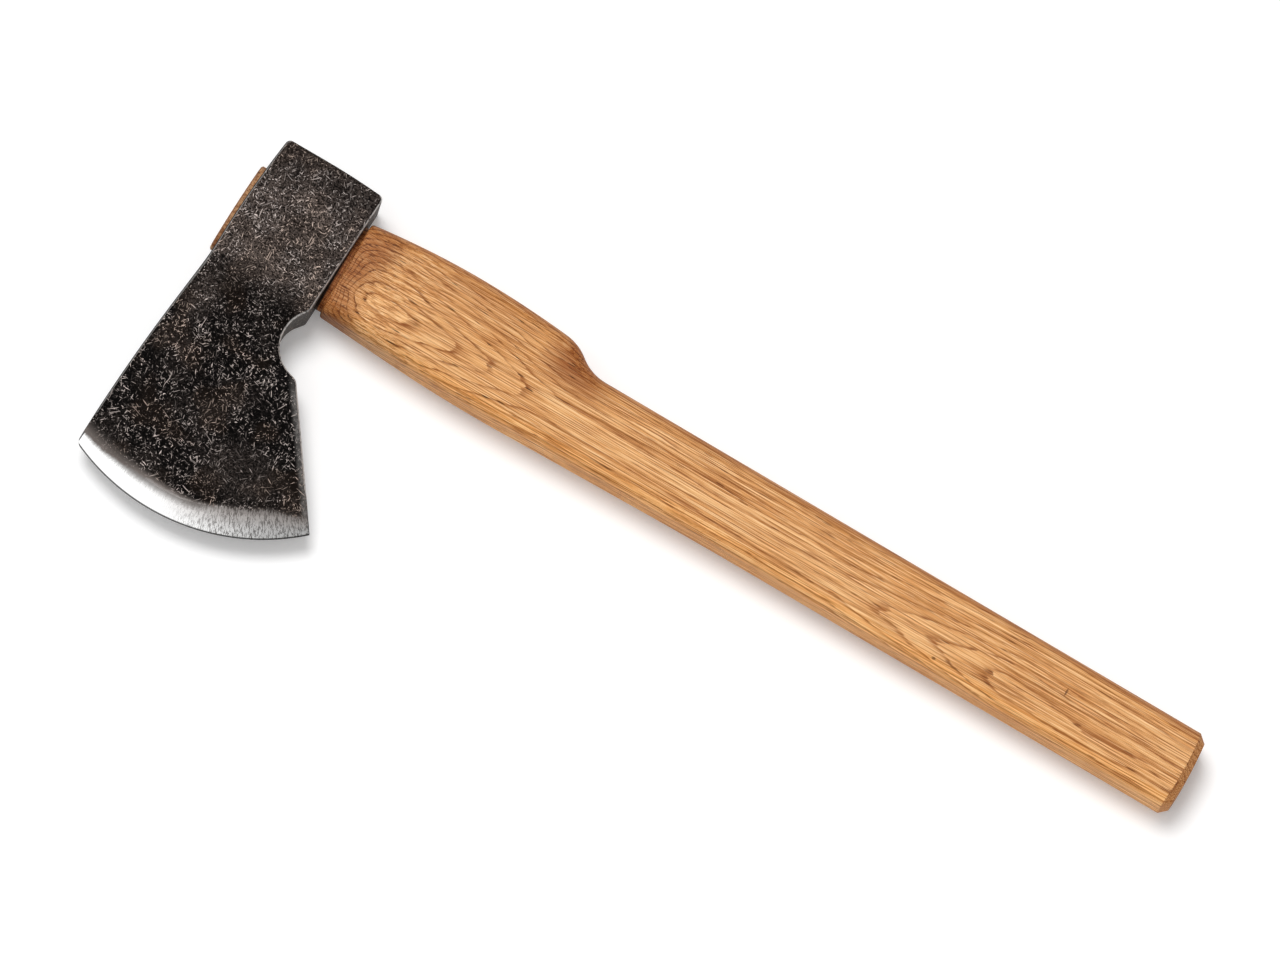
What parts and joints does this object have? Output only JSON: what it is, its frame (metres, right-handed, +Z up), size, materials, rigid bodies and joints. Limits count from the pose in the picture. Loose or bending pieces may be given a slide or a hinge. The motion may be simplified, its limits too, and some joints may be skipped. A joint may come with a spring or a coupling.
{
  "type": "hatchet",
  "caption": "Forged hatchet head with a curved bearded blade and flat poll, wedged on a straight wooden haft with a stepped grip, for splitting and chopping wood.",
  "frame": {"origin": "bottom centre of the whole hatchet's box, as it lies on one cheek", "axes": "+X along the haft from the head's crown to the butt, +Y from the cutting edge towards the poll, +Z up through the thickness of the head"},
  "size_m": [0.4336, 0.1514, 0.026],
  "materials": {
    "head_steel": "blackened, tumbled forging, edge ground bright",
    "haft_wood": "sanded and oiled ring-porous hardwood",
    "wedge_wood": "sawn hardwood",
    "wedge_steel": "bare cut steel"
  },
  "bodies": {
    "root": {"head": "head_steel", "haft": "haft_wood", "wooden_wedge": "wedge_wood", "steel_wedge_poll_side": "wedge_steel", "steel_wedge_bit_side": "wedge_steel"}
  },
  "joints": []
}
